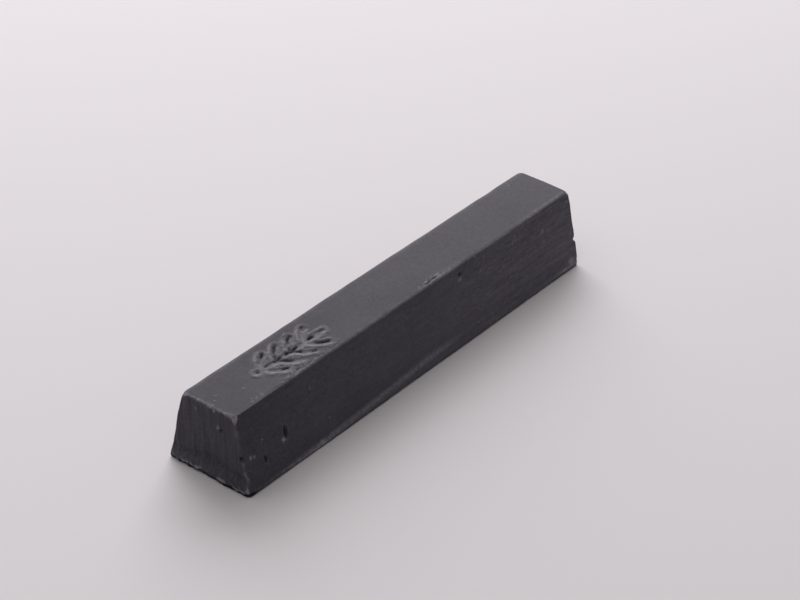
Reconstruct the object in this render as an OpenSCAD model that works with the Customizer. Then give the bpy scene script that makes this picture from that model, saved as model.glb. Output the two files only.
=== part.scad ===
// Furniture repair wax stick: a short bar of hard filler wax. It is cast in an open tray
// with sloping walls, turned out, cut to length at both ends and stamped on its narrow face.
// The bar lies on its wide base. X runs along it from the stamped end, Y across it, Z up.
// The origin is the middle of the base. Lengths are in millimetres, angles in degrees.

/* [Bar] */
// Length between the two cut faces, without the lips at their feet
bar_l = 80; // [60:1:100]
// Width of the base, the wide face that the bar lies on
base_w = 15.5; // [13:0.1:18]
// Width of the top face, which carries the stamp
top_w = 9.6; // [9:0.2:12]
// Height from the base to the top face
bar_h = 12.8; // [10:0.2:16]
// Radius of the two long edges of the top face
top_edge_r = 0.5; // [0.2:0.05:1]
// Radius of the two long edges of the base
base_edge_r = 0.2; // [0.1:0.05:0.8]

/* [Cut ends] */
// Height of the lip that the knife leaves along the foot of the near end
near_lip_h = 2.6; // [1:0.1:4]
// How far that lip flares out from the near cut face
near_lip = 0.25; // [0.1:0.05:0.6]
// Height of the step on the far end, where the last of the wax broke away
far_step_h = 4.3; // [2:0.1:6]
// How far that step stands out from the far cut face
far_step = 0.25; // [0.1:0.05:0.6]
// Radius of the worn slanting edges of both ends
end_edge_r = 0.6; // [0.2:0.05:1.2]
// How far the chipped top corner of the near end is cut back along each edge
near_chip = 1; // [0.4:0.1:2]
// How far the chipped top corner of the far end is cut back along each edge
far_chip = 1.2; // [0.4:0.1:2]

/* [Stamp] */
// Distance from the near cut face to the middle of the stamp
stamp_from_end = 17.4; // [12:0.2:24]
// How far the stamp's middle lies from the middle of the top face, across the bar
stamp_off = -0.25; // [-0.8:0.05:0.8]
// Length of the stamp along the bar
stamp_l = 15.4; // [14:0.2:18]
// Height of the stamp across the bar
stamp_w = 6.2; // [5.6:0.2:6.6]
// Width of a stroke at the top face
stroke_w = 1.1; // [0.8:0.05:1.2]
// Depth of a stroke
stroke_depth = 0.5; // [0.4:0.05:0.6]
// Pairs of leaves on the stamped sprig
leaf_pairs = 4; // [2:1:4]

/* [Casting bubbles] */
// Width of the largest bubble, which opens in the near half of one side
bubble_w = 1; // [0.4:0.05:1.6]
// Length of that bubble down the slope
bubble_l = 2; // [1.2:0.1:3]

/* [Hidden] */
$fn = 48;

// The side walls of the tray lean by the draft, and the slope is one side's width.
draft = atan((base_w - top_w) / 2 / bar_h);
slope = bar_h / cos(draft);
overall_l = near_lip + bar_l + far_step;
near_x = near_lip - overall_l / 2;
far_x = near_x + bar_l;
overrun = bar_h / 4;

// The die's strokes are round-bottomed: this tool cuts the stroke's width at its depth.
tool_r = (stroke_w * stroke_w / 4 + stroke_depth * stroke_depth) / 2 / stroke_depth;

// The balls at the ends and joints of the strokes are this much wider than the strokes.
swell = 1.06;

// The bare ends of the sprig's stem, below the first pair of leaves and past the foot of
// the last one, as shares of the distance from one pair to the next.
stem_foot_share = 0.4;
stem_tip_share = 1.35;

// Angles between a leaf and the stem, where the leaf starts and at its tip.
leaf_start = 65;
leaf_tip = 25;

// Bubbles on the side: along the bar and down the slope as shares of these, then the
// size as a share of the largest bubble.
side_bubble_shares = [
    [0.116, 0.54, 1],
    [0.056, 0.68, 0.6],
    [0.638, 0.10, 0.4]
];
// The bubble on the near end: across the top and down the height, then its size.
end_bubble_shares = [-0.24, 0.25, 0.55];
// How deep a bubble's middle lies under the surface, as a share of its width.
sunk_share = 0.15;

// Distance from a corner to where a rounding of radius r starts, for the corner's angle.
function setback(r, angle) = r / tan(angle / 2);

// The middle of one rounding of the section: a corner of the base or of the top face.
function base_round() = [base_w / 2 - setback(base_edge_r, 90 - draft), base_edge_r];
function top_round() = [top_w / 2 - setback(top_edge_r, 90 + draft), bar_h - top_edge_r];

// A point on a rounding, in the direction that the angle gives.
function on_round(middle, r, angle) = middle + r * [cos(angle), sin(angle)];

// Section across the bar: a trapezium with its four corners rounded.
module section() {
    right = [
        on_round(base_round(), base_edge_r, -90),
        on_round(base_round(), base_edge_r, draft),
        on_round(top_round(), top_edge_r, draft),
        on_round(top_round(), top_edge_r, 90)
    ];
    left = [for (i = [len(right) - 1 : -1 : 0]) [-right[i].x, right[i].y]];
    polygon(concat(right, left));
    for (side = [-1, 1]) {
        translate([side * base_round().x, base_round().y]) circle(base_edge_r);
        translate([side * top_round().x, top_round().y]) circle(top_edge_r);
    }
}

// A length of the section, from one place along the bar to another.
module stretch(from, to) {
    translate([from, 0, 0])
        rotate([90, 0, 90])
            linear_extrude(to - from) section();
}

// What comes off a slanting end edge on the +Y side. The end face looks along +X.
module edge_wear(face_x) {
    translate([face_x, base_w / 2, 0])
        rotate([draft, 0, 0])
            translate([-end_edge_r, -end_edge_r, -overrun])
                linear_extrude(slope + 2 * overrun)
                    difference() {
                        square(end_edge_r + overrun);
                        circle(end_edge_r);
                    }
}

// Both slanting edges of an end face that looks along +X.
module both_edges(face_x) {
    edge_wear(face_x);
    mirror([0, 1, 0]) edge_wear(face_x);
}

// The bar between its cut faces, with the slanting edges of both ends worn round.
module cut_bar() {
    difference() {
        stretch(near_x, far_x);
        both_edges(far_x);
        mirror([1, 0, 0]) both_edges(-near_x);
    }
}

// Lip at the foot of the near end: it flares out from the cut face down to the base.
module foot_lip() {
    difference() {
        intersection() {
            stretch(near_x - near_lip, near_x + end_edge_r);
            rotate([90, 0, 0])
                linear_extrude(base_w, center = true)
                    polygon([
                        [near_x + end_edge_r, 0],
                        [near_x - near_lip, 0],
                        [near_x - near_lip, near_lip_h / 3],
                        [near_x, near_lip_h],
                        [near_x + end_edge_r, near_lip_h]
                    ]);
        }
        mirror([1, 0, 0]) both_edges(near_lip - near_x);
    }
}

// Step on the far end: the foot of the bar stands out below a ragged break.
module foot_step() {
    difference() {
        intersection() {
            stretch(far_x - end_edge_r, far_x + far_step);
            rotate([90, 0, 0])
                linear_extrude(base_w, center = true)
                    polygon([
                        [far_x - end_edge_r, 0],
                        [far_x + far_step, 0],
                        [far_x + far_step, far_step_h - far_step],
                        [far_x, far_step_h],
                        [far_x - end_edge_r, far_step_h]
                    ]);
        }
        both_edges(far_x + far_step);
    }
}

// A chip at an end's top corner on the -Y side: a flat break across three edges. The end
// face looks along -X.
module corner_chip(face_x, size) {
    lean = acos(1 / sqrt(3));
    translate([face_x, -top_w / 2, bar_h])
        rotate([0, 0, 45])
            rotate([0, -lean, 0])
                translate([-overrun, -overrun, -size / sqrt(3)])
                    cube([2 * overrun, 2 * overrun, overrun]);
}

// A round rod along Z that ends in balls. The length is between the balls' middles.
module rod(r, length) {
    cylinder(h = length, r = r, center = true);
    for (side = [-1, 1])
        translate([0, 0, side * length / 2]) sphere(swell * r);
}

// A stroke along an arc, with a ball at each end. It starts at the origin along +X and
// turns to the right.
module bowed_stroke(r, turn) {
    translate([0, -r, 0]) {
        rotate([0, 0, 90 - turn])
            rotate_extrude(angle = turn)
                translate([r, 0]) circle(tool_r);
        for (angle = [0, -turn])
            rotate([0, 0, angle])
                translate([0, r, 0]) sphere(swell * tool_r);
    }
}

// A pair of leaves, one on each side of the stem, that bow towards its tip.
module leaves(reach) {
    bow_r = reach / (cos(leaf_tip) - cos(leaf_start));
    for (side = [0, 1])
        mirror([0, side, 0])
            rotate([0, 0, leaf_start]) bowed_stroke(bow_r, leaf_start - leaf_tip);
}

// The stamp, pressed into the top face: a sprig that lies along the bar, a straight stem
// with evenly spaced pairs of leaves.
module stamp() {
    stem_l = stamp_l - stroke_w;
    pitch = stem_l / (stem_foot_share + leaf_pairs - 1 + stem_tip_share);
    translate([near_x + stamp_from_end, stamp_off, bar_h + tool_r - stroke_depth]) {
        rotate([0, 90, 0]) rod(tool_r, stem_l);
        for (i = [0 : leaf_pairs - 1])
            translate([(stem_foot_share + i) * pitch - stem_l / 2, 0, 0])
                leaves((stamp_w - stroke_w) / 2);
    }
}

// The bubbles that open in the -Y side and in the near end.
module bubbles() {
    for (place = side_bubble_shares)
        translate([near_x + place[0] * bar_l, -top_w / 2, bar_h])
            rotate([-draft, 0, 0])
                translate([0, sunk_share * place[2] * bubble_w, -place[1] * slope])
                    rod(place[2] * bubble_w / 2, place[2] * (bubble_l - bubble_w));
    end_w = end_bubble_shares[2] * bubble_w;
    translate([
        near_x + sunk_share * end_w,
        end_bubble_shares[0] * top_w,
        (1 - end_bubble_shares[1]) * bar_h
    ])
        sphere(end_w / 2);
}

// The whole bar of wax, one solid piece.
module wax_bar() {
    color([0.2, 0.19, 0.2])
        difference() {
            union() {
                cut_bar();
                foot_lip();
                foot_step();
            }
            corner_chip(near_x, near_chip);
            mirror([1, 0, 0]) corner_chip(-far_x, far_chip);
            stamp();
            bubbles();
        }
}

wax_bar();
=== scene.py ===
import bpy
import numpy as np
from mathutils import Matrix, Vector


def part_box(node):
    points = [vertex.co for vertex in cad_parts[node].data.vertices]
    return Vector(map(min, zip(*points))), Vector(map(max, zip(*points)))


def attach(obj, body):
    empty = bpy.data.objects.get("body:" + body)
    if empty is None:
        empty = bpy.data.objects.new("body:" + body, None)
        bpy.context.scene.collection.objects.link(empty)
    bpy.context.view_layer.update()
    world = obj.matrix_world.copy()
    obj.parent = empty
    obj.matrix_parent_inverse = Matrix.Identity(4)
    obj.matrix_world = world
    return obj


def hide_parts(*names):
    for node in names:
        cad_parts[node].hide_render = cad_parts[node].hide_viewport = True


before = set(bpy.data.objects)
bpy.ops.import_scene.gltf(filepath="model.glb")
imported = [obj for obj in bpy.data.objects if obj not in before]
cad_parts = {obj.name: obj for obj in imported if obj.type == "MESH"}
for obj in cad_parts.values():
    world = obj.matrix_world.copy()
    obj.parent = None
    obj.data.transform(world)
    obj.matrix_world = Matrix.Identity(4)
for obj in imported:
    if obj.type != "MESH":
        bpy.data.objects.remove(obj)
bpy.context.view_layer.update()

# The wax stick
# One bar of hard, near-black filler wax. It is cast in an open tray with sloping walls and
# turned out onto its wide face. A knife cuts it to length and drags a lip at each foot, and
# a steel die is pressed into the narrow face.
mm = 0.001
solid_low, solid_high = (np.array(corner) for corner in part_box("wax_bar"))

base_width = 15.5 * mm
top_width = 9.6 * mm
half_base, half_top = base_width / 2, top_width / 2
height = solid_high[2] - solid_low[2]
draft = np.arctan((base_width - top_width) / 2 / height)
side_width = height / np.cos(draft)
near_lip = 0.25 * mm
far_step = 0.25 * mm
near_face = solid_low[0] + near_lip
far_face = solid_high[0] - far_step


def eased(share):
    """An S curve from 0 to 1: 3 t squared less 2 t cubed, with t held between 0 and 1."""
    t = np.clip(share, 0, 1)
    return t * t * (3 - 2 * t)


def rising(value, start, fade):
    """A step from 0 to 1 in an S curve: it begins at the start and ends a fade above it."""
    return eased((value - start) / fade)


def falling(value, stop, fade):
    """A step from 1 to 0 in an S curve: it begins a fade below the stop and ends there."""
    return eased((stop - value) / fade)


def hump(distance, reach):
    """A bell that is 1 at no distance and falls off as e to the minus (distance over
    reach) squared."""
    return np.exp(-((distance / reach) ** 2))


def bell(value, place, reach):
    """A long hump: the bell of the distance from a place along one direction."""
    return hump(value - place, reach)


def spot(a, b, place, reach):
    """A round hump: the bell of the distance from a place."""
    return hump(np.hypot(a - place[0], b - place[1]), reach)


def from_oval(a, b, place, halves):
    """Distance from the middle of an oval, counted in its own half length and half width."""
    return np.hypot((a - place[0]) / halves[0], (b - place[1]) / halves[1])


def scooped(from_middle):
    """Depth of half an ellipsoid, 1 in its middle: the root of one less the square of the
    distance, which is 1 at its edge."""
    return np.sqrt(np.clip(1 - from_middle**2, 0, 1))


lattice_size = 97


def mottle(a, b, cell, seed):
    """A smooth uneven field between -1 and 1: seeded numbers stand on a lattice whose cells
    have the given size, or the given length and width, and each point takes the mean of the
    four round it, weighed by the S curve."""
    cell_length, cell_width = np.broadcast_to(cell, 2)
    a, b = a / cell_length, b / cell_width
    lattice = np.random.default_rng(seed).uniform(-1, 1, (lattice_size, lattice_size))
    i, j = np.floor(a).astype(int), np.floor(b).astype(int)
    s, t = eased(a - i), eased(b - j)
    row, next_row = i % lattice_size, (i + 1) % lattice_size
    column, next_column = j % lattice_size, (j + 1) % lattice_size
    near_row = lattice[row, column] * (1 - t) + lattice[row, next_column] * t
    far_row = lattice[next_row, column] * (1 - t) + lattice[next_row, next_column] * t
    return near_row * (1 - s) + far_row * s


def wavering(a, cell, seed):
    """An uneven line between -1 and 1: the uneven field along one direction alone."""
    return mottle(a, a * 0, cell, seed)


def as_share(field):
    """A field between -1 and 1 brought to between 0 and 1."""
    return 0.5 + 0.5 * field


# Number of points on each stretch of the outline across the bar, in the order in which
# the outline runs: half the base, the -Y side, the top, the +Y side, the rest of the base.
base_points, near_side_points, top_points, far_side_points = 24, 66, 78, 40
base_corner_points, top_corner_points = 5, 8
base_edge_radius = 0.2 * mm
near_top_radius, far_top_radius = 0.5 * mm, 0.26 * mm
least_radius = 0.04 * mm
quarter = np.pi / 2


def bar_outline(inset):
    """The outline across the bar, moved in by the inset. Each corner is an arc whose
    middle lies one radius inside both its sides, and straight runs join the arcs. Gives
    y, z and the angle that each point faces, from the +Y direction."""
    def arc(side, z_line, radius, start, stop, count):
        radius = max(radius - inset, least_radius)
        up = 1 if z_line > 0 else -1
        z = z_line - up * (inset + radius)
        half = half_base - z * np.tan(draft) - (inset + radius) / np.cos(draft)
        angle = np.linspace(start, stop, count)
        return side * half + radius * np.cos(angle), z + radius * np.sin(angle), angle

    corners = [
        arc(-1, 0, base_edge_radius, 3 * quarter, 2 * quarter - draft, base_corner_points),
        arc(-1, height, near_top_radius, 2 * quarter - draft, quarter, top_corner_points),
        arc(1, height, far_top_radius, quarter, draft, top_corner_points),
        arc(1, 0, base_edge_radius, draft, -quarter, base_corner_points),
    ]
    runs = [near_side_points, top_points, far_side_points]
    middle = np.linspace(0, 1, base_points, endpoint=False)
    parts = [[middle * corners[0][0][0], middle * 0 + inset, middle * 0 - quarter]]
    for corner, following, count in zip(corners, corners[1:], runs):
        share = np.linspace(0, 1, count + 2)[1:-1]
        parts.append(corner)
        parts.append([here[-1] + share * (there[0] - here[-1]) for here, there in zip(corner, following)])
    parts.append(corners[-1])
    back = np.linspace(1, 0, base_points, endpoint=False)[1:]
    parts.append([back * corners[-1][0][-1], back * 0 + inset, back * 0 - quarter])
    return [np.concatenate(values) for values in zip(*parts)]


# The rings run from the middle of the near face out to its edge, round the edge, along the
# bar, and in the same way over the far face. The core is the outline that the faces shrink
# to before they close on their middles.
core = 1.3 * mm
middle_z = 0.46 * height
cap_rings, margin_rings, edge_rings, body_rings = 18, 6, 6, 322
fine_cell, coarse_cell = 0.125 * mm, 0.34 * mm
coarse_from = (-13.5 * mm, 6 * mm)
station_samples = 4001

rim_y, rim_z, facing = bar_outline(0)
core_y, core_z, _ = bar_outline(core)
out_y, out_z = np.cos(facing), np.sin(facing)

# How far each point of the outline belongs to a face, by how nearly it faces that way.
level_from, side_from = (0.55, 0.4), (0.3, 0.5)
on_top, on_base = rising(out_z, *level_from), rising(-out_z, *level_from)
on_near_side, on_far_side = rising(-out_y, *side_from), rising(out_y, *side_from)

# How far the edges round each cut face are rounded: beside the -Y side, beside the +Y side,
# under the top and over the base.
near_edge_radii = (0.24 * mm, 0.16 * mm, 0.3 * mm, 0.13 * mm)
far_edge_radii = (0.18 * mm, 0.3 * mm, 0.25 * mm, 0.2 * mm)


def edge_radius(radii):
    """The rounding of a cut face's edge at each point of the outline: the mean of the four
    radii, weighed by how far the point belongs to the face beside the edge."""
    weights = [on_near_side, on_far_side, on_top, on_base]
    return sum(weight * radius for weight, radius in zip(weights, radii)) / sum(weights)


def end_rings(radius):
    """The rings of one end, from its middle outwards. Gives for each point how far back it
    lies from the face, how far in from the outline, its share of the way from the middle
    to the core, and how far round the edge it is, from 0 on the face to a quarter turn."""
    shape = np.ones_like(radius)
    share = np.arange(1, cap_rings + 1)[:, None] / cap_rings * shape
    step = np.arange(1, margin_rings)[:, None] / margin_rings * shape
    angle = np.linspace(0, quarter, edge_rings)[:, None]
    back = np.concatenate([share * 0, step * 0, radius * (1 - np.cos(angle))])
    inset = np.concatenate([
        share * 0 + core,
        core + step * (radius - core),
        radius * (1 - np.sin(angle)),
    ])
    reach = np.concatenate([share, step * 0 + 1, angle * 0 + shape])
    turn = np.concatenate([share * 0, step * 0, angle * shape])
    return back, inset, reach, turn


near_radius, far_radius = edge_radius(near_edge_radii), edge_radius(far_edge_radii)
near_back, near_inset, near_reach, near_turn = end_rings(near_radius)
far_back, far_inset, far_reach, far_turn = (values[::-1] for values in end_rings(far_radius))


def stations(count):
    """Shares of the way along the bar, closest together from the near end to just past the
    stamp: the steps are in proportion to a cell size that eases from fine to coarse."""
    sample = np.linspace(near_face, far_face, station_samples)
    cell = fine_cell + (coarse_cell - fine_cell) * rising(sample, *coarse_from)
    crossed = np.cumsum(1 / cell)
    crossed = (crossed - crossed[0]) / (crossed[-1] - crossed[0])
    places = np.interp(np.linspace(0, 1, count + 2)[1:-1], crossed, sample)
    return (places - near_face) / (far_face - near_face)


along = stations(body_rings)[:, None]
body_start, body_stop = near_face + near_radius, far_face - far_radius
x = np.concatenate([
    near_face + near_back,
    body_start + along * (body_stop - body_start),
    far_face - far_back,
])
flat = np.zeros_like(along * near_radius)
inset = np.concatenate([near_inset, flat, far_inset]) / core
reach = np.concatenate([near_reach, flat + 1, far_reach])
y = reach * (rim_y + inset * (core_y - rim_y))
z = middle_z + reach * (rim_z + inset * (core_z - rim_z) - middle_z)

# Where each point lies: how far it is on the bar and off the cut faces, and how far down a
# side from the top edge, along the slope.
on_bar = np.sin(np.concatenate([near_turn, flat + quarter, far_turn]))
on_near_cut = (1 - on_bar) * (x < 0)
on_near_wall = on_near_side * on_bar
down = (height - z) / np.cos(draft)

# The stamp: a sprig that lies along the bar, a straight stem with evenly spaced pairs of
# leaves that bow towards its tip.
stamp_x = near_face + 17.4 * mm
stamp_y = -0.25 * mm
stem_half = 7.15 * mm
stem_foot_share, stem_tip_share = 0.4, 1.35
leaf_reach = 2.55 * mm
leaf_pairs = 4
leaf_pitch = 2 * stem_half / (leaf_pairs - 1 + stem_foot_share + stem_tip_share)
leaf_start, leaf_tip = np.radians([65, 25])


def to_stem(a, b):
    """Distance from the stem: to the nearest point between its two ends."""
    return np.hypot(np.maximum(np.abs(a) - stem_half, 0), b)


def to_arc(a, b, middle, radius, start, turn):
    """Distance from a curved stroke that turns to the right: from its circle where the
    point lies within the arc's angles, and otherwise from the nearer end."""
    a, b = a - middle[0], b - middle[1]
    swept = (start - np.arctan2(b, a)) % (2 * np.pi)
    on_circle = np.abs(np.hypot(a, b) - radius)
    ends = [
        np.hypot(a - radius * np.cos(angle), b - radius * np.sin(angle))
        for angle in (start, start - turn)
    ]
    return np.where(swept < turn, on_circle, np.minimum(*ends))


def to_stamp(a, b):
    """Distance from the middle line of the nearest stroke. Both sides of the stem are
    alike, so a leaf is measured at the distance from the stem. It is an arc that leaves
    the stem at one angle and ends at another."""
    b = np.abs(b)
    radius = leaf_reach / (np.cos(leaf_tip) - np.cos(leaf_start))
    distances = [to_stem(a, b)]
    for i in range(leaf_pairs):
        foot = (i + stem_foot_share) * leaf_pitch - stem_half
        middle = (foot + radius * np.sin(leaf_start), -radius * np.cos(leaf_start))
        distances.append(to_arc(a, b, middle, radius, leaf_start + quarter, leaf_start - leaf_tip))
    return np.min(distances, axis=0)


# The strokes wander a little, and lose some of their depth at the two ends of the sprig.
stroke_wander, wander_cell = 0.12 * mm, 0.9 * mm
full_until = (6.4 * mm, 0.6 * mm)
stamp_a = x - stamp_x + stroke_wander * mottle(x, y, wander_cell, 11)
stamp_b = y - stamp_y + stroke_wander * mottle(x, y, wander_cell, 12)
to_stroke = to_stamp(stamp_a, stamp_b)
full_share = falling(np.abs(stamp_a), *full_until)

stroke_half, stroke_depth = 0.48 * mm, 0.05 * mm
stroke_steepness = 2.6
stroke_cell = (1.9 * mm, 1.5 * mm)


def stroke_bottoms():
    """Depth of the strokes: a bell, a little flatter in the middle and steeper in the walls
    than a true one, uneven from place to place."""
    uneven = 1 + 0.35 * mottle(x, y, stroke_cell, 13)
    depth = stroke_depth * (0.75 + 0.25 * full_share) * uneven
    return depth * np.exp(-((to_stroke / stroke_half) ** stroke_steepness))


# Where the die tore the wax, a narrow slit runs along the stroke's far wall.
slit_half, slit_depth = 0.15 * mm, 0.38 * mm
slit_ahead, slit_aside = 0.2 * mm, 0.18 * mm
slit_cell = (1.2 * mm, 1.0 * mm)


def torn_slits():
    """Share of the slits: a narrow bell beside the strokes' middle line, in stretches that
    an uneven field picks, a few more of them towards +Y. They fade at the sprig's ends."""
    torn = eased(1.8 * mottle(x, y, slit_cell, 15) + 0.2 * stamp_b / leaf_reach + 0.15)
    torn = torn * (0.3 + 0.7 * full_share)
    return torn * hump(to_stamp(stamp_a - slit_ahead, stamp_b - slit_aside), slit_half)


# The wax that the die pushed aside stands in a rim beside the strokes, over a shallow dish.
# The die leaned, so the rim is higher on the strokes' -X side.
rim_height, rim_width, rim_gap = 0.15 * mm, 0.34 * mm, 0.289 * mm
rim_cell, rim_crumb_cell = 1.1 * mm, 0.36 * mm
lean_step = 0.2 * mm
dish_depth, dish_halves = 0.1 * mm, (10 * mm, 4.6 * mm)


def raised_rims():
    """Share of the rims: a bell that stands a gap away from the strokes' edges, lower where
    the distance from the stroke grows towards +X, and uneven at two sizes."""
    ahead, behind = to_stamp(stamp_a + lean_step, stamp_b), to_stamp(stamp_a - lean_step, stamp_b)
    lean = (ahead - behind) / (2 * lean_step)
    rim = hump(to_stroke - stroke_half - rim_gap, rim_width)
    rim = rim * (0.7 - 0.4 * lean + 0.5 * mottle(x, y, rim_cell, 16))
    return np.clip(rim * (1 + 0.55 * mottle(x, y, rim_crumb_cell, 14)), 0, 1.3)


# The strokes' walls on the -X and -Y side get a painted highlight. Pits mark the tips
# and joints of a few strokes, given in millimetres along the sprig and across it. Sparks
# are rare crumbs with a painted glint.
highlight_offset, highlight_reach, highlight_cell = 0.15 * mm, 0.5 * mm, 0.5 * mm
pit_places = [(-3.6, 2.4), (5.4, 2.4), (-6.8, 0.1), (0.1, -0.1), (2.4, -2.3), (2.9, 2.5)]
pit_depth, pit_reach = 0.2 * mm, 0.18 * mm
spark_height, spark_reach, spark_cell = 0.06 * mm, 1.1 * mm, 0.2 * mm


def pressed_wax():
    """Height of the top face where the die went in: the rims and the sparks, less the
    strokes, the slits, the pits and the dish. Gives the height, the share of painted
    highlight, which is the rims, the walls and the sparks, and the share of the slits."""
    depth = stroke_bottoms()
    slit = torn_slits()
    depth = depth + slit_depth * slit
    for place in np.array(pit_places) * mm:
        depth = depth + pit_depth * spot(stamp_a, stamp_b, place, pit_reach)
    rim = raised_rims()
    dish = hump(from_oval(stamp_a, stamp_b, (0, 0), dish_halves) ** 2, 1)
    wall_highlight = hump(to_stamp(stamp_a + highlight_offset, stamp_b + highlight_offset), highlight_reach)
    wall_highlight = wall_highlight * (0.9 + 0.5 * mottle(x, y, highlight_cell, 17))
    sparks = eased(9 * mottle(x, y, spark_cell, 18) - 7.4) * hump(to_stroke, spark_reach)
    # Painted highlight: the rims, the walls and the sparks are painted paler.
    highlight_here = 0.7 * rim + 0.7 * np.clip(wall_highlight, 0, 1) + 2 * sparks
    raised = rim_height * rim + spark_height * sparks
    return raised - depth - dish_depth * dish, highlight_here, slit


# Ripples and crumbs between the stamp and the -Y edge. Each patch has its place, its half
# length and half width, and how far crumbs take the place of ripples.
ripple_patches = [
    ((stamp_x + 5.6 * mm, -3.9 * mm), (1.1 * mm, 0.6 * mm), 0.4),
    ((stamp_x - 2.4 * mm, -4.15 * mm), (3.8 * mm, 0.4 * mm), 1.0),
    ((stamp_x + 2.4 * mm, -3.9 * mm), (1.0 * mm, 0.4 * mm), 0.7),
]
ripple_height, ripple_length, ripple_slant = 0.06 * mm, 0.5 * mm, 0.45
broken_height, broken_cell = 0.1 * mm, 0.28 * mm


def chatter():
    """Ripples and crumbs left by the die: a sine across each patch, broken up by an uneven
    field. Gives the height and the share of the crumbs."""
    ripple = ripple_height * np.sin(2 * np.pi * (x * ripple_slant + y) / ripple_length)
    broken = mottle(x, y, broken_cell, 21)
    rise, share_there = 0, 0
    for place, halves, rough in ripple_patches:
        share = hump(from_oval(x, y, place, halves) ** 2, 1)
        rise = rise + share * (ripple * (1 - rough) + broken_height * rough * broken)
        share_there = share_there + share * rough * np.clip(2.2 * broken - 0.7, 0, 1)
    return rise, share_there


stamp_height, stamp_highlight, slits = pressed_wax()
chatter_height, crumbs = chatter()

# A nick in the top face beside its -Y edge, and the crumbs that it threw up.
nick_place, nick_halves, nick_depth = (5.6 * mm, -4.05 * mm), (1.6 * mm, 0.32 * mm), 0.26 * mm
flake_height, flake_cell = 0.12 * mm, (0.4 * mm, 0.22 * mm)
crumb_spread = 1.8
flakes = mottle(x, y, flake_cell, 25)
from_nick = from_oval(x, y, nick_place, nick_halves)
nick_height = flake_height * flakes - nick_depth * eased(-0.3 - 2.2 * flakes)
nick_height = nick_height * hump(from_nick, 1)
crumbs = crumbs + 1.3 * hump(from_nick, crumb_spread) * eased(3 * flakes - 0.2)

# Single crumbs that stuck to the top face, in millimetres: place along the bar, place
# across it, and size.
crumb_height = 0.08 * mm
single_crumbs = [
    (-33.8, -1.2, 0.2), (-34.2, -4.0, 0.16), (-33.1, -4.1, 0.2), (-37.6, 0.6, 0.13),
    (-26.9, 1.2, 0.14), (-29.0, -4.4, 0.2), (-14.1, 4.5, 0.2), (-39.55, -0.6, 0.18),
    (-35.3, -4.2, 0.15), (-34.9, -3.7, 0.13), (-15.6, -3.6, 0.15),
]
for crumb_x, crumb_y, crumb_size in np.array(single_crumbs) * mm:
    crumb = spot(x, y, (crumb_x, crumb_y), crumb_size) * (1 + 0.6 * flakes)
    nick_height = nick_height + crumb_height * crumb
    crumbs = crumbs + 0.8 * crumb

# Casting bubbles that open in the -Y side, in millimetres: place along the bar and down the
# slope, width and length down the slope, and depth.
side_bubbles = [
    (-30.75, 7.0, 1.0, 2.1, 0.55), (-35.5, 8.9, 0.62, 1.25, 0.35), (11.2, 1.5, 0.9, 0.9, 0.45),
]
bubble_lip, lip_at, lip_rub_at = 0.04 * mm, (1.25, 0.22), (1.2, 0.2)
# Small burrs of lifted wax on that side, in millimetres: place, place down the slope, size
# and height.
side_burrs = [
    (-31.5, 7.9, 0.35, 0.16), (-38.4, 7.3, 0.25, 0.1), (-37.6, 7.5, 0.2, 0.08),
    (-23.8, 12.45, 0.28, 0.14), (11.0, 2.2, 0.3, 0.1), (32.1, 3.6, 0.3, 0.08),
    (38.3, 11.7, 0.5, 0.1),
]


def side_marks():
    """Height of the bubbles and burrs on the -Y side. A bubble is half an ellipsoid inside a
    low lip, and a burr is a hump. Gives the height, how much of it is lifted wax and the
    share of the bubbles."""
    rise, lifted, hollow = 0, 0, 0
    for place, slope, width, length, depth in np.array(side_bubbles) * mm:
        apart = from_oval(x, down, (place, slope), (width / 2, length / 2))
        hole = scooped(apart)
        rise = rise - depth * hole + bubble_lip * bell(apart, *lip_at)
        lifted = lifted + 0.25 * bell(apart, *lip_rub_at)
        hollow = hollow + hole
    for place, slope, size, tall in np.array(side_burrs) * mm:
        bump = spot(x, down, (place, slope), size)
        rise = rise + tall * bump
        lifted = lifted + 1.6 * bump
    return rise, lifted, hollow


# Drag lines: the height and the cell of a slow swell, of wide lines and of narrow ones.
swell_height, swell_cell = 0.05 * mm, (11 * mm, 5 * mm)
wide_height, wide_cell = 0.03 * mm, (17 * mm, 0.9 * mm)
narrow_height, narrow_cell = 0.022 * mm, (9 * mm, 0.4 * mm)


def drag_lines(seed, rough):
    """Lines that the tray wall and the hand leave along a side: a field that is long along
    the bar and narrow down the slope, at two widths, over a slow swell."""
    wide = mottle(x + seed * wide_cell[0], down, wide_cell, seed)
    narrow = mottle(x, down, narrow_cell, seed + 1)
    swell = mottle(x, down, swell_cell, seed + 2)
    return swell_height * swell + rough * (wide_height * wide + narrow_height * narrow)


# The band along the foot of a side: how far up it lies, how far it wanders, its ridge, and
# the ragged wax below the ridge.
band_rise, band_wander, band_cell, band_fine_cell = 0.55 * mm, 0.15 * mm, 7 * mm, 1.9 * mm
ridge_height, ridge_half = 0.07 * mm, 0.24 * mm
ragged_height, ragged_drop, ragged_fade = 0.03 * mm, 0.01 * mm, 0.4 * mm
ragged_cell = (0.7 * mm, 0.5 * mm)


def foot_band(seed, strength):
    """The band along the foot of a side, where the poured wax met the tray's rim: a low
    ridge whose height up the side wanders, with a ragged edge below it. Gives the height
    and the share of the ridge."""
    wander = wavering(x, band_cell, seed) + 0.5 * wavering(x, band_fine_cell, seed + 1)
    line = side_width - band_rise - band_wander * wander
    ridge = bell(down, line, ridge_half)
    ragged = ragged_height * mottle(x, down, ragged_cell, seed + 2) - ragged_drop
    below = rising(down, line, ragged_fade)
    return strength * (ridge_height * ridge + below * ragged), ridge


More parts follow.
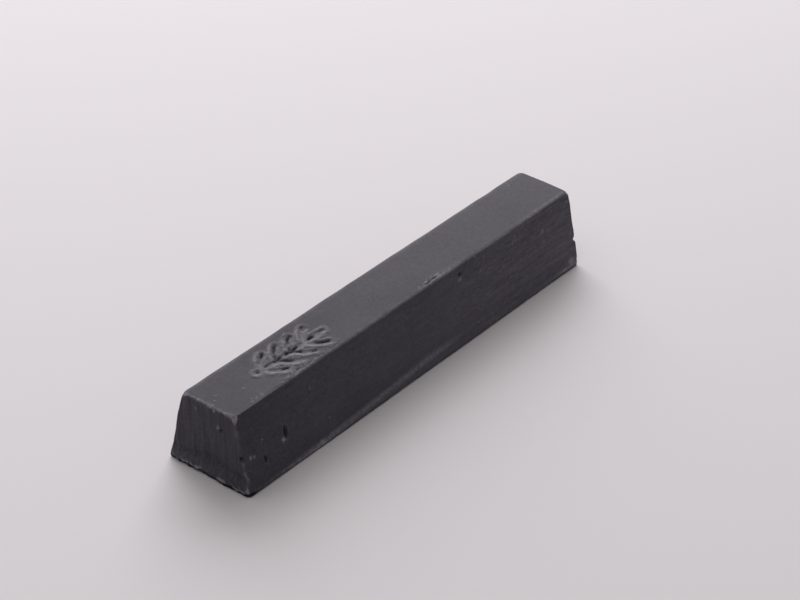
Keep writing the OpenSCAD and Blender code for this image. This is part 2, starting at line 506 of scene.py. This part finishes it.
# Patches of the -Y side where the wax stuck to the tray, in millimetres: place along the
# bar and down the slope, half length and half width.
stuck_patches = [
    ((-24.5, 3.0), (1.3, 1.2)), ((-1.6, 1.9), (2.4, 0.9)),
    ((15.7, 2.6), (1.6, 1.1)), ((18.3, 12.2), (2.6, 0.6)),
]
stuck_height, stuck_cell = 0.1 * mm, (0.34 * mm, 0.3 * mm)


def rough_patches():
    """The stuck patches: crumbs about a third of a millimetre wide, under a bell over each
    patch. Gives the height and the share of torn wax."""
    fine = mottle(x, down, stuck_cell, 151)
    patches = np.array(stuck_patches) * mm
    share = sum(hump(from_oval(x, down, place, halves), 1) for place, halves in patches)
    return stuck_height * share * fine, share * eased(2.2 * fine - 0.9)


# The flared lip: where it begins and ends along the bar, its line above the foot, how that
# climbs and wanders, and the lip's depth and widths down the slope.
lip_start, lip_stop = (-36 * mm, 13 * mm), (11 * mm, 9 * mm)
lip_rise, lip_wander, lip_cell = 0.5 * mm, 0.1 * mm, 4 * mm
climb_slope, climb_start, climb_length = 0.052, -24 * mm, 34 * mm
lip_depth, lip_pull, lip_swell, lip_half = 0.42 * mm, 4 * mm, 1.0 * mm, 0.38 * mm


def flared_lip():
    """The lip along the foot of the -Y side, where the wax had crept over the tray's rim:
    the wall is pulled in above a line and swells out again across it in an S curve. The
    line climbs along the bar. Gives the height and the share of the lip, which the wax
    shows as a painted highlight."""
    window = rising(x, *lip_start) * falling(x, *lip_stop)
    climb = climb_slope * np.clip(x - climb_start, 0, climb_length)
    line = side_width - lip_rise - climb + lip_wander * wavering(x, lip_cell, 35)
    pulled = eased((down - line) / lip_pull + 1)
    swollen = eased((down - line) / lip_swell + 0.5)
    share = window**0.6 * bell(down, line, lip_half)
    return -lip_depth * window * pulled * (1 - swollen), share


marks, lifted_wax, bubbles = side_marks()
crumbled, torn_wax = rough_patches()
lip, lip_highlight = flared_lip()
near_band, near_ridge = foot_band(31, 1.0)
far_band, _ = foot_band(41, 0.8)

# The -Y side is smooth in its near half and dragged in its far half. The top face is a
# little sunk, and so is the base, which cooled in the open.
far_half_from = (2 * mm, 22 * mm)
top_sink, top_cell = 0.035 * mm, (12 * mm, 4.5 * mm)
base_sink, base_rough, base_cell = 0.09 * mm, 0.05 * mm, 1.6 * mm
far_half = rising(x, *far_half_from)
top_swell = top_sink * (mottle(x, y, top_cell, 51) - 1)
top_height = top_swell + stamp_height + chatter_height + nick_height
near_side_height = drag_lines(61, 0.1 + 0.8 * far_half) + marks + near_band + crumbled + lip
far_side_height = drag_lines(71, 0.6) + far_band
sunk = base_sink * (1 - (y / half_base) ** 2)
base_height = base_rough * mottle(x, y, base_cell, 81) - sunk

# How far the long edges are worn back, unevenly and in chips. The -Y edge is less worn near
# the near end, where the side below it bulges.
edge_cell, chip_cell, chip_from = 3.1 * mm, 0.8 * mm, 0.45
near_edge_worn, near_edge_wander, near_edge_chip = 0.02 * mm, 0.05 * mm, 0.12 * mm
kept_at, kept_height = (-38 * mm, 8 * mm), 0.1 * mm
far_edge_worn, far_edge_wander = 0.03 * mm, 0.06 * mm
foot_wander = 0.02 * mm
bulge_at, bulge_down, bulge_height = (-36 * mm, 7 * mm), 2.2 * mm, 0.22 * mm
top_edge_reach, foot_edge_reach = 0.5 * mm, 0.6 * mm

edge_wander = as_share(wavering(x, edge_cell, 91))
edge_chips = np.clip(wavering(x, chip_cell, 92) - chip_from, 0, 1)
near_edge_wear = near_edge_worn + near_edge_wander * edge_wander + near_edge_chip * edge_chips
near_edge_wear = near_edge_wear - kept_height * bell(x, *kept_at)
far_edge_wear = far_edge_worn + far_edge_wander * edge_wander
near_bulge = bulge_height * bell(x, *bulge_at) * hump(down, bulge_down)
at_near_top_edge = spot(y, z, (-half_top, height), top_edge_reach)
at_far_top_edge = spot(y, z, (half_top, height), top_edge_reach)
at_near_foot = spot(y, z, (-half_base, 0), foot_edge_reach)

push = (
    on_top * top_height
    + on_near_side * (near_side_height + near_bulge)
    + on_far_side * far_side_height
    + on_base * base_height
    - at_near_top_edge * near_edge_wear
    - at_far_top_edge * far_edge_wear
    - at_near_foot * foot_wander * edge_wander
) * on_bar

# The near face is a knife cut. The knife drags its foot into a ragged lip below a crease.
# The foot line gives places across the bar where the lip stands further out or less far, in
# millimetres. Then come how far it stands out, its ragged wax and nibs, the cut under it
# and the crease.
foot_line = [(-8.0, 0.0), (-6.1, 0.05), (-4.5, 0.05), (-3.0, 0.24), (-0.9, -0.05),
             (0.4, 0.0), (2.0, -0.14), (3.5, 0.0), (5.5, 0.06), (7.4, -0.15)]
flare_out, flare_share = 0.16 * mm, 0.7
foot_ragged, foot_ragged_cell = 0.07 * mm, (0.55 * mm, 0.9 * mm)
nib_height, nib_cell, nib_z = 0.2 * mm, (0.42 * mm, 0.36 * mm), (0.7 * mm, 0.35 * mm)
undercut, undercut_z = 0.12 * mm, (0.5 * mm, 0.3 * mm)
crease_z, crease_wander, crease_cell = 2.9 * mm, 0.5 * mm, 3 * mm
crease_depth, crease_above, crease_half = 0.3 * mm, 0.2 * mm, 0.5 * mm
crease_stop = (7.6 * mm, 2.5 * mm)


def dragged_foot():
    """How far the near face stands out at its foot. Below the crease it flares by a share
    of the lip that eases in with the drop, and it is cut in under the lip; the crease is a
    groove. Gives that distance and the share of the nibs."""
    crease = crease_z + crease_wander * wavering(y, crease_cell, 101)
    drop = np.clip((crease - z) / crease, 0, 1)
    ragged = mottle(y, z, foot_ragged_cell, 104)
    foot = np.interp(y, *np.transpose(foot_line) * mm) + foot_ragged * ragged
    flare = (flare_out + flare_share * foot) * eased(1.5 * drop)
    nibs = eased(2.4 * mottle(y, z, nib_cell, 133) - 0.1) * bell(z, *nib_z)
    flare = flare + nib_height * nibs - undercut * falling(z, *undercut_z)
    groove = crease_depth * hump(z - crease - crease_above, crease_half)
    return flare - groove * falling(y, *crease_stop), nibs


# The rest of the near face: the knife's upright lines, fine and wide, a torn pit with a nib
# of wax beside it, a nib at the top edge, a swelling and a hollow.
line_height, line_cell, wide_line_cell = 0.06 * mm, (0.34 * mm, 8 * mm), (0.8 * mm, 5 * mm)
face_pit, face_pit_halves, face_pit_depth = (-2.35 * mm, 9.5 * mm), (0.34 * mm, 0.45 * mm), 0.35 * mm
pit_nib, pit_nib_reach, pit_nib_height = (-2.0 * mm, 9.7 * mm), 0.22 * mm, 0.14 * mm
edge_nib, edge_nib_reach, edge_nib_height = (-1.2 * mm, 12.3 * mm), 0.25 * mm, 0.12 * mm
swelling, swelling_y, swelling_z = 0.16 * mm, (1.5 * mm, 3 * mm), (9.5 * mm, 3 * mm)
hollow_depth, hollow_from = 0.28 * mm, (0.4 * mm, 2.6 * mm)
hollow_y, hollow_z = (-0.6 * mm, 5.5 * mm), (4.6 * mm, 3.6 * mm)


def knife_cut():
    """How far the near face stands out, towards -X, from a flat cut. The upright lines are
    a field narrow across and long up the face. Gives that distance and the nibs."""
    foot, nibs = dragged_foot()
    lines = mottle(y, z, line_cell, 102) + 0.7 * mottle(y, z, wide_line_cell, 103)
    pit = face_pit_depth * scooped(from_oval(y, z, face_pit, face_pit_halves))
    torn = pit_nib_height * spot(y, z, pit_nib, pit_nib_reach)
    torn = torn + edge_nib_height * spot(y, z, edge_nib, edge_nib_reach)
    swell = swelling * rising(y, *swelling_y) * bell(z, *swelling_z)
    hollow = hollow_depth * rising(z, *hollow_from) * bell(y, *hollow_y) * bell(z, *hollow_z)
    return foot - hollow + line_height * lines - pit + torn + swell, nibs


# The far face: the height of the break and how far it wanders and climbs towards -Y, the
# step below it, the bulge and the notch above it, the uneven fields and the upper part.
break_z, break_wander, break_cell = 4.2 * mm, 0.35 * mm, 1.7 * mm
break_climb, climb_until = 0.35 * mm, (-3 * mm, 3 * mm)
step_fade = 0.3 * mm
bulge_out, bulge_above = 0.2 * mm, (1.3 * mm, 1.1 * mm)
notch_depth, notch_above = 0.36 * mm, (0.3 * mm, 0.35 * mm)
far_line_height, far_line_cell = 0.03 * mm, (0.5 * mm, 7 * mm)
far_rough_height, far_rough_cell, far_rough_fade = 0.04 * mm, 0.6 * mm, 0.5 * mm
far_wave_height, far_wave_cell = 0.07 * mm, (1.5 * mm, 4 * mm)
upper_out, upper_above = 0.12 * mm, (1.5 * mm, 1.5 * mm)


def far_break():
    """How far the far face stands out, towards +X, from a flat cut: a step below a ragged
    notch, where the last of the wax broke away, the bulging upper part, and the fields."""
    edge = break_z + break_wander * wavering(y, break_cell, 111)
    edge = edge + break_climb * falling(y, *climb_until)
    step = far_step * eased((edge - z) / step_fade + 0.5)
    step = step + bulge_out * bell(z - edge, *bulge_above)
    notch = notch_depth * bell(z - edge, *notch_above)
    lines = far_line_height * mottle(y, z, far_line_cell, 112)
    rough = far_rough_height * mottle(y, z, far_rough_cell, 113)
    rough = rough * falling(z, edge, far_rough_fade)
    waves = far_wave_height * mottle(z, y, far_wave_cell, 114)
    upper = upper_out * rising(z - edge, *upper_above)
    return step - notch + upper + lines + rough + waves


face_fade = 2.5 * mm
near_share = eased(1 - (x - body_start) / face_fade)
far_share = eased(1 - (body_stop - x) / face_fade)
near_out, foot_nibs = knife_cut()
far_out = far_break()
x_shift = far_share * far_out - near_share * near_out

points = np.stack([x + x_shift, y + out_y * push, z + out_z * push], axis=-1)

# Corners knocked off the bar: the corner, the way that the break faces, how far the break
# lies from where the sharp corner was, and how softly it runs into the faces beside it.
knocks = [
    ((near_face, -half_top, height), (-0.8, -0.55, 0.6), 0.5 * mm, 0.03 * mm),
    ((near_face, half_top, height), (-1, 0.7, 1.1), 0.42 * mm, 0.05 * mm),
    ((far_face, -half_top, height), (1, -0.7, 1), 0.36 * mm, 0.05 * mm),
    ((far_face, half_top, height), (1, 1, 1), 0.25 * mm, 0.1 * mm),
    ((near_face, -half_base, 0), (-1, -1, 0.1), 0.24 * mm, 0.08 * mm),
    ((far_face + far_step, -half_base, 0), (1, -1, -0.1), 0.42 * mm, 0.04 * mm),
    ((far_face + far_step, half_base, 0), (1, 1, -0.4), 0.4 * mm, 0.1 * mm),
]
knock_rough, knock_cell = 0.05 * mm, 0.3 * mm
knocked = np.zeros_like(x)
for corner, way, depth, softness in knocks:
    way = np.array(way) / np.linalg.norm(way)
    beyond = (points - corner) @ way + depth
    beyond = beyond + knock_rough * mottle(x + y, z, knock_cell, 121)
    off = softness * np.logaddexp(0, beyond / softness)
    points = points - off[..., None] * way
    knocked = np.maximum(knocked, eased((beyond / softness + 1) / 3))

# Nicks along the slanting edge between the near face and the -Y side: small ones, and two
# bites, each with its place up the edge, reach and depth.
slant_reach, slant_nick_depth, slant_cell = 0.4 * mm, 0.16 * mm, 0.45 * mm
bite_z = 6.1 * mm
slant_bites = [(bite_z, 0.4 * mm, 0.3 * mm), (4.2 * mm, 0.3 * mm, 0.2 * mm)]
slant_y = -half_top - (height - z) * np.tan(draft)
at_slant = spot(points[..., 0], points[..., 1], (near_face, slant_y), slant_reach)
slant_nick = slant_nick_depth * np.clip(wavering(z, slant_cell, 131) - 0.1, 0, 1)
for nick_z, nick_reach, depth in slant_bites:
    slant_nick = slant_nick + depth * bell(z, nick_z, nick_reach)
points[..., 0] += at_slant * slant_nick
points[..., 1] += at_slant * slant_nick

# Nicks along the foot of the near face, where crumbs of wax have come away, and the widest
# of them, under the middle of the foot.
foot_reach, foot_nick_depth, foot_cell, foot_fine_cell = 0.9 * mm, 0.08 * mm, 0.6 * mm, 0.25 * mm
wide_nick_y, wide_nick_depth = (1.2 * mm, 0.8 * mm), 0.1 * mm
at_near_foot_edge = spot(points[..., 0], z, (near_face, 0), foot_reach)
foot_nick = np.clip(wavering(y, foot_cell, 132), 0, 1)
foot_nick = foot_nick + 0.6 * np.clip(wavering(y, foot_fine_cell, 134), 0, 1)
foot_nick = foot_nick_depth * foot_nick + wide_nick_depth * bell(y, *wide_nick_y)
points[..., 2] += at_near_foot_edge * foot_nick
points = np.clip(points, solid_low, solid_high)

# Rubbed and torn wax is paler than the rest, and the same pale colour paints highlights
# and light on the stamp, the lip and the near face's foot. Two uneven fields break its edges up.
rub_cell, across_cell = (0.55 * mm, 0.3 * mm), 0.9 * mm
ragged_line = as_share(mottle(x, y, rub_cell, 141))
across_wander = as_share(wavering(y, across_cell, 144))

# The rubbed long edges: how wide the -Y one is, how far inside the edge it lies, the
# stretches where it is strongest, as place, reach and share, and where it starts. Then the
# narrower +Y one.
rub_reach, rub_wander, rub_ragged, rub_inside = 0.22 * mm, 0.2 * mm, 0.1 * mm, 0.38 * mm
rubbed_stretches = [(-25 * mm, 2.2 * mm, 0.4), (9.5 * mm, 2.5 * mm, 0.35)]
far_stretch_from, rub_start = (25 * mm, 6 * mm), (-31 * mm, 5 * mm)
far_rub_reach, far_rub_inside = 0.25 * mm, 0.1 * mm


def rubbed_long_edges():
    """Share of rubbed wax along the two long top edges: a bell about each edge. The -Y one
    is ragged, strongest in three stretches and faint beside the near end."""
    reach = rub_reach + rub_wander * edge_wander + rub_ragged * ragged_line
    strength = 0.08 + 0.25 * ragged_line + 0.4 * rising(x, *far_stretch_from)
    for place, stretch_reach, share in rubbed_stretches:
        strength = strength + share * bell(x, place, stretch_reach)
    strength = strength * (0.15 + 0.85 * rising(x, *rub_start))
    near_line = strength * spot(y, z, (rub_inside - half_top, height), reach)
    far_line = spot(y, z, (half_top - far_rub_inside, height), far_rub_reach)
    return near_line + far_line * 0.5 * (0.3 + edge_wander)


# The slanting edge beside the near face, whose rub is stronger near the foot.
slant_rub_reach, slant_rub_wander, slant_strong_z = 0.2 * mm, 0.16 * mm, (4.5 * mm, 2 * mm)
slant_rub_cell, slant_rub_fine_cell = 1.1 * mm, 0.6 * mm


def rubbed_slant():
    """Share of rubbed wax along the slanting edge: a bell about it whose reach and strength
    wander up the edge."""
    reach = slant_rub_reach + slant_rub_wander * as_share(wavering(z, slant_rub_cell, 142))
    share = spot(x, y, (near_face, slant_y), reach)
    share = share * (0.55 + 0.5 * wavering(z, slant_rub_fine_cell, 143))
    return share * (0.7 + 0.4 * falling(z, *slant_strong_z))


# The near face's top edge, the nibs of torn wax on that face, and its foot band, which is
# painted light.
top_rub_inside, top_rub_reach, top_rub_wander = 0.1 * mm, 0.18 * mm, 0.22 * mm
torn_nibs = [((-1.9 * mm, 9.75 * mm), 0.25 * mm), ((-1.2 * mm, 12.4 * mm), 0.24 * mm),
             ((-0.5 * mm, 12.7 * mm), 0.24 * mm)]
lit_foot_z, lit_foot_y = (2.7 * mm, 0.8 * mm), (-4 * mm, 3 * mm)


def rubbed_and_lit_near_face():
    """Share of rubbed or torn wax on the near face: a ragged bell about its top edge, a
    spot on each nib, the nibs along the foot, and a faint band of painted light over the foot."""
    reach = top_rub_reach + top_rub_wander * across_wander
    top_edge = spot(x, z, (near_face + top_rub_inside, height), reach)
    top_edge = 1.2 * top_edge * (0.5 + 0.7 * ragged_line)
    torn = sum(spot(y, z, place, nib_reach) for place, nib_reach in torn_nibs)
    # A faint band of painted light over the foot.
    foot = falling(z, *lit_foot_z) * rising(y, *lit_foot_y)
    return top_edge + on_near_cut * (1.5 * torn + 2 * foot_nibs + 0.1 * foot)


# The foot of the -Y side: a pale line at its far end, and the ridge of the foot band, which
# is paler at the near end.
foot_line_z, foot_line_reach, foot_line_from = 0.65 * mm, 0.3 * mm, (32 * mm, 5 * mm)
pale_ridge_until = (-22 * mm, 4 * mm)


def paler_side_foot():
    """Share of the paler colour along the foot of the -Y side: a ragged bell about the pale
    line, and the ridge of the band, also ragged."""
    line = spot(y, z, (-half_base, foot_line_z), foot_line_reach)
    line = line * rising(x, *foot_line_from) * (0.35 + 0.65 * ragged_line)
    ridge = near_ridge * ragged_line * (0.2 + 0.45 * falling(x, *pale_ridge_until))
    return 1.7 * line + on_near_wall * ridge


most_rubbed_and_highlit = 1.6
rubbed_and_highlit = (
    rubbed_long_edges()
    + rubbed_slant()
    + rubbed_and_lit_near_face()
    + paler_side_foot()
    # Painted highlight on the stamp's rims, walls and sparks, and pale crumbs.
    + on_top * on_bar * (stamp_highlight + 0.9 * crumbs)
    # Lifted and torn wax on the -Y side, and a painted highlight on its lip.
    + on_near_wall * (lifted_wax + 0.45 * torn_wax + 0.75 * lip_highlight)
    + 1.7 * knocked
)
rubbed_and_highlit = np.clip(rubbed_and_highlit, 0, most_rubbed_and_highlit)

# Painted shade along the feet of the near face and of the -Y side: its height, how far it
# wanders and rises, how softly it ends and from where it is darkest. Then the painted shade
# in the bite in the slanting edge.
gap_height, gap_wander, gap_cell = 0.45 * mm, 0.2 * mm, 0.9 * mm
gap_fine_wander, gap_fine_cell = 0.1 * mm, 0.3 * mm
gap_rise, gap_rise_y, gap_fade = 0.2 * mm, (1.0 * mm, 0.8 * mm), 0.25 * mm
side_gap_height, side_gap_fade = 0.4 * mm, 0.3 * mm
side_gap_rise, side_gap_rise_x = 0.5 * mm, (-39.4 * mm, 1.0 * mm)
far_gap_from, near_gap_until = (31 * mm, 5 * mm), (-36 * mm, 3 * mm)
bite_aside, bite_reach, bite_tall = 0.25 * mm, 0.3 * mm, 0.35 * mm


def crevice_shades():
    """Share of painted shade, a near-black colour without reflection, in the places that no
    light reaches and no hand rubs: the slits of the stamp, the bubbles, the bite in the
    slanting edge and the lowest band of each foot. The shade along a foot ends in an S curve
    at its height."""
    wander = gap_wander * wavering(y, gap_cell, 151) + gap_fine_wander * wavering(y, gap_fine_cell, 152)
    line = gap_height + wander + gap_rise * bell(y, *gap_rise_y)
    near_gap_shade = on_near_cut * eased((line - z) / gap_fade + 0.5)
    side_line = side_gap_height + side_gap_rise * bell(x, *side_gap_rise_x)
    ends = rising(x, *far_gap_from) + falling(x, *near_gap_until)
    side_gap_shade = on_near_wall * falling(z, side_line, side_gap_fade) * (0.35 + 0.6 * ends)
    bite_shade = spot(x, y, (near_face, slant_y + bite_aside), bite_reach) * bell(z, bite_z, bite_tall)
    hole_shade = 0.5 * on_top * slits + 0.6 * on_near_wall * bubbles
    return np.clip(hole_shade + 0.9 * bite_shade + near_gap_shade + side_gap_shade, 0, 1)


# Painted light: the grey of the bloom thickens towards the far end, and most on the -Y
# side and towards its foot.
near_light, far_light = 0.075, 0.35
side_light_from = (near_face, 40 * mm)
# The painted shade in the crevices.
crevice_shade = crevice_shades()
bloom_and_light = near_light + (far_light - near_light) * (x - near_face) / (far_face - near_face)
# Painted light: the -Y side paler along the bar and towards its foot.
side_light = 0.33 * rising(x, *side_light_from) + 0.25 * down / side_width
bloom_and_light = np.clip(bloom_and_light + on_near_wall * side_light, 0, 1)
dragged = (on_near_side * (0.25 + 0.75 * far_half) + 0.35 * on_far_side) * on_bar


def closed_bar(rows, pole_near, pole_far):
    """Points and faces of the closed skin: each ring is joined to the next with four-sided
    faces that look outwards, and each end closes on one point."""
    rings, sides = rows.shape[:2]
    ring, side = np.meshgrid(np.arange(rings - 1), np.arange(sides), indexing="ij")
    following = (side + 1) % sides
    first, next_first = ring * sides, (ring + 1) * sides
    corners = [first + side, next_first + side, next_first + following, first + following]
    walls = np.stack(corners, axis=-1).reshape(-1, 4)
    edge, turned = np.arange(sides), (np.arange(sides) + 1) % sides
    count = rings * sides
    near_fan = np.stack([edge * 0 + count, edge, turned], axis=-1)
    last = (rings - 1) * sides
    far_fan = np.stack([edge * 0 + count + 1, last + turned, last + edge], axis=-1)
    skin = np.concatenate([rows.reshape(-1, 3), [pole_near, pole_far]])
    return skin, walls, np.concatenate([near_fan, far_fan])


skin, walls, fans = closed_bar(points, points[0].mean(axis=0), points[-1].mean(axis=0))
wax_mesh = bpy.data.meshes.new("wax_stick")
wax_mesh.vertices.add(len(skin))
wax_mesh.vertices.foreach_set("co", skin.astype(np.float32).ravel())
wax_mesh.loops.add(walls.size + fans.size)
wax_mesh.loops.foreach_set("vertex_index", np.concatenate([walls.ravel(), fans.ravel()]))
wax_mesh.polygons.add(len(walls) + len(fans))
starts = np.concatenate([np.arange(len(walls)) * 4, walls.size + np.arange(len(fans)) * 3])
wax_mesh.polygons.foreach_set("loop_start", starts)
wax_mesh.polygons.foreach_set("use_smooth", np.ones(len(starts), bool))
wax_mesh.update(calc_edges=True)


def paint_share(name, share, near_value, far_value):
    """Stores a share at each point of the skin, and its values at the middles of the near
    and the far face, for the wax to read."""
    values = np.concatenate([share.ravel(), [near_value, far_value]])
    attribute = wax_mesh.attributes.new(name, "FLOAT", "POINT")
    attribute.data.foreach_set("value", values.astype(np.float32))


paint_share("rubbed_and_highlit", rubbed_and_highlit, 0, 0)
paint_share("cut", 1 - on_bar, 1, 1)
paint_share("crevice_shade", crevice_shade, 0, 0)
paint_share("bloom_and_light", bloom_and_light, near_light, far_light)
paint_share("dragged", dragged, 0, 0)

wax_colour = (0.042, 0.038, 0.047, 1)
# Grey of the bloom, which also carries the painted light.
bloom_and_light_colour = (0.095, 0.087, 0.105, 1)
# Pale rubbed wax, also used for painted highlights and light.
rubbed_and_highlight_colour = (0.24, 0.225, 0.255, 1)
dust_colour = (0.4, 0.38, 0.4, 1)
# Near-black of the painted shade in the crevices.
crevice_shade_colour = (0.012, 0.011, 0.013, 1)


def black_wax():
    """Near-black wax with a satin skin: a bloom in patches with painted light over it, lines
    along the sides and up the cut ends, paler rubbed edges with painted highlights and
    light, painted shade in the crevices, and a little dust."""
    material = bpy.data.materials.new("black_wax")
    material.use_nodes = True
    nodes, links = material.node_tree.nodes, material.node_tree.links
    wax = nodes["Principled BSDF"]
    wax.inputs["IOR"].default_value = 1.44
    place = nodes.new("ShaderNodeTexCoord")

    def put(kind, **sockets):
        node = nodes.new(kind)
        for name, value in sockets.items():
            node.inputs[name.replace("_", " ")].default_value = value
        return node

    def field(scale, detail, rough, stretch=(1, 1, 1)):
        """Noise on the bar's own coordinates, its cells stretched along an axis."""
        mapping = put("ShaderNodeMapping", Scale=stretch)
        noise = put("ShaderNodeTexNoise", Scale=scale, Detail=detail, Roughness=rough)
        links.new(place.outputs["Object"], mapping.inputs["Vector"])
        links.new(mapping.outputs["Vector"], noise.inputs["Vector"])
        return noise.outputs["Fac"]

    def ranged(value, span, to_span):
        """A value brought from one span to another, and held within it."""
        low, high = span
        to_low, to_high = to_span
        node = put("ShaderNodeMapRange", From_Min=low, From_Max=high, To_Min=to_low, To_Max=to_high)
        links.new(value, node.inputs["Value"])
        return node.outputs["Result"]

    def combined(operation, values):
        """The values taken together from the first to the last, two at a time."""
        result = values[0]
        for value in values[1:]:
            node = nodes.new("ShaderNodeMath")
            node.operation = operation
            links.new(result, node.inputs[0])
            if isinstance(value, (int, float)):
                node.inputs[1].default_value = value
            else:
                links.new(value, node.inputs[1])
            result = node.outputs["Value"]
        return result

    def total(*values):
        return combined("ADD", values)

    def product(*values):
        return combined("MULTIPLY", values)

    def blended(share, first, second):
        """The first colour, and the second over it by the share."""
        node = nodes.new("ShaderNodeMix")
        node.data_type = "RGBA"
        links.new(share, node.inputs["Factor"])
        for socket, value in ((node.inputs["A"], first), (node.inputs["B"], second)):
            if isinstance(value, tuple):
                socket.default_value = value
            else:
                links.new(value, socket)
        return node.outputs["Result"]

    def share_of(name):
        node = nodes.new("ShaderNodeAttribute")
        node.attribute_name = name
        return node.outputs["Fac"]

    cut, dragged, crevice_shade = share_of("cut"), share_of("dragged"), share_of("crevice_shade")
    grain = field(1500, detail=4, rough=0.6)
    drag = field(1000, detail=4, rough=0.65, stretch=(0.09, 1.5, 1.5))
    knife = field(1000, detail=3, rough=0.6, stretch=(1, 2.4, 0.12))

    clouds = ranged(field(90, detail=2, rough=0.5), (0.3, 0.7), (-0.12, 0.12))
    spots = ranged(field(900, detail=3, rough=0.65), (0.35, 0.65), (-0.1, 0.1))
    speckle = ranged(field(2600, detail=3, rough=0.7), (0.35, 0.65), (-0.2, 0.2))
    streaks = field(1500, detail=4, rough=0.75, stretch=(0.3, 1.2, 1.2))
    streaks = product(ranged(streaks, (0.38, 0.62), (-0.24, 0.24)), dragged)
    patches = total(clouds, spots, speckle, share_of("bloom_and_light"), streaks)

    broken = ranged(field(1800, detail=4, rough=0.7), (0.38, 0.66), (0.4, 1))
    smear = product(ranged(drag, (0.45, 0.7), (0, 0.2)), dragged)
    scrape = product(ranged(knife, (0.42, 0.72), (0, 0.14)), cut)
    pitted = field(2400, detail=2, rough=0.6, stretch=(0.6, 1, 1))
    pitted = product(ranged(pitted, (0.62, 0.7), (0, 0.36)), dragged)
    # Rubbed wax and painted highlights and light, with smears, scrapes and pits.
    rub_and_highlight = total(product(share_of("rubbed_and_highlit"), broken), smear, scrape, pitted)

    specks = put("ShaderNodeTexVoronoi", Scale=650)
    links.new(place.outputs["Object"], specks.inputs["Vector"])
    chosen = nodes.new("ShaderNodeSeparateColor")
    links.new(specks.outputs["Color"], chosen.inputs["Color"])
    rare = ranged(chosen.outputs["Red"], (0.9, 0.91), (0, 1))
    dust = product(rare, ranged(specks.outputs["Distance"], (0.1, 0.06), (0, 1)), 0.45)

    colour = blended(patches, wax_colour, bloom_and_light_colour)
    colour = blended(rub_and_highlight, colour, rubbed_and_highlight_colour)
    colour = blended(dust, colour, dust_colour)
    # Painted shade darkens the crevices.
    colour = blended(crevice_shade, colour, crevice_shade_colour)
    links.new(colour, wax.inputs["Base Color"])
    # Painted shade also takes the reflection out of the crevices.
    links.new(ranged(crevice_shade, (0, 1), (0.19, 0)), wax.inputs["Specular IOR Level"])

    satin = ranged(grain, (0.3, 0.7), (0.56, 0.62))
    dulled = ranged(patches, (0, 1), (0, 0.05))
    links.new(total(satin, dulled, product(rub_and_highlight, 0.12)), wax.inputs["Roughness"])

    relief = total(product(grain, 0.4), product(drag, dragged, 1.5), product(knife, cut, 1.9))
    bump = put("ShaderNodeBump", Strength=0.8, Distance=0.03 * mm)
    links.new(relief, bump.inputs["Height"])
    links.new(bump.outputs["Normal"], wax.inputs["Normal"])
    return material


wax_stick = bpy.data.objects.new("wax_stick", wax_mesh)
bpy.context.scene.collection.objects.link(wax_stick)
wax_mesh.materials.append(black_wax())
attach(wax_stick, "root")
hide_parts("wax_bar")

# The floor
# A plain pale sheet, wide enough to fill every view from above.
floor_half = 3.0
floor_drop = 0.01 * mm
floor_colour = (0.72, 0.69, 0.69, 1)
floor_roughness, floor_shine = 0.75, 0.2

floor_mesh = bpy.data.meshes.new("floor")
floor_mesh.from_pydata(
    [(i * floor_half, j * floor_half, -floor_drop) for i, j in ((-1, -1), (1, -1), (1, 1), (-1, 1))],
    [],
    [(0, 1, 2, 3)],
)
floor = bpy.data.objects.new("floor", floor_mesh)
bpy.context.scene.collection.objects.link(floor)
pale = bpy.data.materials.new("pale_floor")
pale.use_nodes = True
sheet = pale.node_tree.nodes["Principled BSDF"]
sheet.inputs["Base Color"].default_value = floor_colour
sheet.inputs["Roughness"].default_value = floor_roughness
sheet.inputs["Specular IOR Level"].default_value = floor_shine
floor_mesh.materials.append(pale)

# The light
# A large soft lamp behind the bar casts its shadow, a weaker one overhead fills it in, and
# the sky is an even white, as in a light tent.
sky_strength = 0.27
lamp_distance = 0.75
lamp_colour = (0.98, 0.955, 1.0)

world = bpy.data.worlds.new("studio")
world.use_nodes = True
world.node_tree.nodes["Background"].inputs["Color"].default_value = (1, 1, 1, 1)
world.node_tree.nodes["Background"].inputs["Strength"].default_value = sky_strength
bpy.context.scene.world = world


def soft_lamp(name, way, size, watts):
    """A square lamp that stands off in the given direction and shines at the origin."""
    way = Vector(way).normalized()
    data = bpy.data.lights.new(name, "AREA")
    data.shape = "SQUARE"
    data.size = size
    data.energy = watts
    data.color = lamp_colour
    lamp = bpy.data.objects.new(name, data)
    turned = way.to_track_quat("Z", "Y").to_matrix().to_4x4()
    lamp.matrix_world = Matrix.Translation(way * lamp_distance) @ turned
    bpy.context.scene.collection.objects.link(lamp)


soft_lamp("key_lamp", way=(0.62, 0.64, 0.52), size=0.75, watts=6.9)
soft_lamp("top_lamp", way=(-0.15, 0.35, 0.9), size=0.8, watts=1.6)

# The camera
# It looks down on the near end from the left, as the photograph does. The angles, the
# distance and the lens come from the bar's corners in the picture.
azimuth, elevation, roll = np.radians([-52.11, 33.83, 1.54])
distance = 377.1 * mm
aim_right, aim_up = 2.17 * mm, 8.39 * mm
sensor_width, focal_length = 36, 110.63

back = np.array([
    np.sin(azimuth) * np.cos(elevation),
    -np.cos(azimuth) * np.cos(elevation),
    np.sin(elevation),
])
level = np.array([np.cos(azimuth), np.sin(azimuth), 0])
upward = np.cross(back, level)
right_way = level * np.cos(roll) + upward * np.sin(roll)
up_way = upward * np.cos(roll) - level * np.sin(roll)
camera_data = bpy.data.cameras.new("camera")
camera_data.sensor_width = sensor_width
camera_data.lens = focal_length
camera = bpy.data.objects.new("camera", camera_data)
turn = Matrix(np.stack([right_way, up_way, back], axis=1).tolist()).to_4x4()
camera_place = back * distance + right_way * aim_right + up_way * aim_up
camera.matrix_world = Matrix.Translation(camera_place.tolist()) @ turn
bpy.context.scene.collection.objects.link(camera)
bpy.context.scene.camera = camera
bpy.context.scene.view_settings.view_transform = "Standard"
